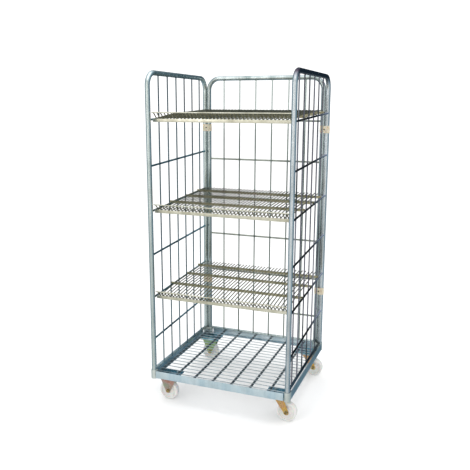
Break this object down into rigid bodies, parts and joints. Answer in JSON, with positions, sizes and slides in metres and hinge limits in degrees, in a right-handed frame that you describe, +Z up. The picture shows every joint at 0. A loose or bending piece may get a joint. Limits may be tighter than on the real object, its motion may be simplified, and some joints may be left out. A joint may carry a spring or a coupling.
{
  "type": "roll cage container",
  "caption": "Wheeled wire cage with an open front, bent-tube side and back panels, a grid deck, lift-off sloping wire shelves, and fixed and swivel casters.",
  "frame": {"origin": "centre of the bounding box in plan, at the floor", "axes": "+Z up, -Y out of the open front, +X towards the side with the swivel casters"},
  "size_m": [0.778, 0.719, 1.7075],
  "materials": {
    "zinc_tube": "bright blue zinc plate",
    "zinc_rail": "satin zinc plate",
    "zinc_plate": "bright blue zinc plate",
    "shelf_wire": "bright zinc plate with a warm tint",
    "clip_plastic": "moulded cream plastic",
    "gold_zinc": "yellow passivated zinc on steel",
    "nylon": "natural nylon, satin",
    "steel": "plain"
  },
  "bodies": {
    "cage": {"side_frame_left": "zinc_tube", "side_frame_right": "zinc_tube", "back_frame": "zinc_tube", "side_grid_left": "zinc_tube", "side_grid_right": "zinc_tube", "back_grid": "zinc_tube", "deck_grid": "zinc_tube", "rail_front": "zinc_rail", "rail_rear": "zinc_rail", "rail_left": "zinc_rail", "rail_right": "zinc_rail", "socket_front_left": "zinc_rail", "socket_front_right": "zinc_rail", "socket_rear_left": "zinc_rail", "socket_rear_right": "zinc_rail", "mounting_plate_front_left": "zinc_plate", "wheel_bush_front_left": "steel", "axle_bolt_front_left": "gold_zinc", "axle_nut_front_left": "gold_zinc", "mounting_plate_front_right": "zinc_plate", "mounting_plate_rear_left": "zinc_plate", "wheel_bush_rear_left": "steel", "axle_bolt_rear_left": "gold_zinc", "axle_nut_rear_left": "gold_zinc", "mounting_plate_rear_right": "zinc_plate", "fixed_bracket_front_left": "gold_zinc", "fixed_bracket_rear_left": "gold_zinc", "swivel_plate_front_right": "gold_zinc", "kingpin_front_right": "steel", "swivel_plate_rear_right": "gold_zinc", "kingpin_rear_right": "steel", "clip_upper_left": "clip_plastic", "clip_screw_upper_left": "steel", "clip_upper_right": "clip_plastic", "clip_screw_upper_right": "steel", "clip_lower_left": "clip_plastic", "clip_screw_lower_left": "steel", "clip_lower_right": "clip_plastic", "clip_screw_lower_right": "steel"},
    "wheel_front_left": {"wheel_front_left": "nylon"},
    "wheel_front_right": {"wheel_front_right": "nylon"},
    "wheel_rear_left": {"wheel_rear_left": "nylon"},
    "wheel_rear_right": {"wheel_rear_right": "nylon"},
    "shelf_top": {"shelf_top": "shelf_wire"},
    "shelf_middle": {"shelf_middle": "shelf_wire"},
    "shelf_bottom": {"shelf_bottom": "shelf_wire"},
    "swivel_front_right": {"swivel_fork_front_right": "gold_zinc", "ball_race_front_right": "steel", "wheel_bush_front_right": "steel", "axle_bolt_front_right": "gold_zinc", "axle_nut_front_right": "gold_zinc"},
    "swivel_rear_right": {"swivel_fork_rear_right": "gold_zinc", "ball_race_rear_right": "steel", "wheel_bush_rear_right": "steel", "axle_bolt_rear_right": "gold_zinc", "axle_nut_rear_right": "gold_zinc"}
  },
  "joints": [
    {"name": "top_shelf_lift", "type": "slide", "parent": "cage", "child": "shelf_top", "axis": [0, 0, 1], "range_m": [0, 0.15]},
    {"name": "middle_shelf_lift", "type": "slide", "parent": "cage", "child": "shelf_middle", "axis": [0, 0, 1], "range_m": [0, 0.15]},
    {"name": "bottom_shelf_lift", "type": "slide", "parent": "cage", "child": "shelf_bottom", "axis": [0, 0, 1], "range_m": [0, 0.15]},
    {"name": "front_right_swivel", "type": "hinge", "parent": "cage", "child": "swivel_front_right", "pos_m": [0.305, -0.283, 0.1239], "axis": [0, 0, 1], "continuous": true},
    {"name": "rear_right_swivel", "type": "hinge", "parent": "cage", "child": "swivel_rear_right", "pos_m": [0.305, 0.283, 0.1239], "axis": [0, 0, 1], "continuous": true},
    {"name": "front_left_roll", "type": "hinge", "parent": "cage", "child": "wheel_front_left", "pos_m": [-0.315, -0.283, 0.05], "axis": [0, 1, 0], "continuous": true},
    {"name": "front_right_roll", "type": "hinge", "parent": "swivel_front_right", "child": "wheel_front_right", "pos_m": [0.339, -0.283, 0.05], "axis": [0, 1, 0], "continuous": true},
    {"name": "rear_left_roll", "type": "hinge", "parent": "cage", "child": "wheel_rear_left", "pos_m": [-0.315, 0.283, 0.05], "axis": [0, 1, 0], "continuous": true},
    {"name": "rear_right_roll", "type": "hinge", "parent": "swivel_rear_right", "child": "wheel_rear_right", "pos_m": [0.339, 0.283, 0.05], "axis": [0, 1, 0], "continuous": true}
  ]
}
